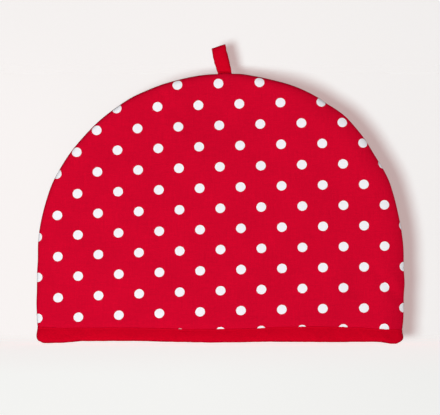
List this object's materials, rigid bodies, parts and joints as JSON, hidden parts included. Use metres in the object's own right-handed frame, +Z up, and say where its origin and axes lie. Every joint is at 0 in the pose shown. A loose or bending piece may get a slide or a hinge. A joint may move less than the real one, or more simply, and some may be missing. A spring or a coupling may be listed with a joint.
{
  "type": "tea cosy",
  "caption": "Half-oval padded cloth cover for a teapot: two arched wadded panels sewn together, open at the bottom, with a bound hem and a small hanging loop on top.",
  "frame": {"origin": "middle of the footprint, on the surface that the hem stands on", "axes": "+X along the width to the right of the front panel, +Y from the front panel to the back panel, +Z up to the loop"},
  "size_m": [0.3597, 0.068, 0.2921],
  "materials": {
    "dotted_cloth": "plain-weave cotton, red with white dots, matt",
    "plain_binding": "plain red cotton bias binding, matt"
  },
  "bodies": {
    "root": {"front_panel": "dotted_cloth", "back_panel": "dotted_cloth", "hem_binding": "plain_binding", "top_loop": "plain_binding"}
  },
  "joints": []
}
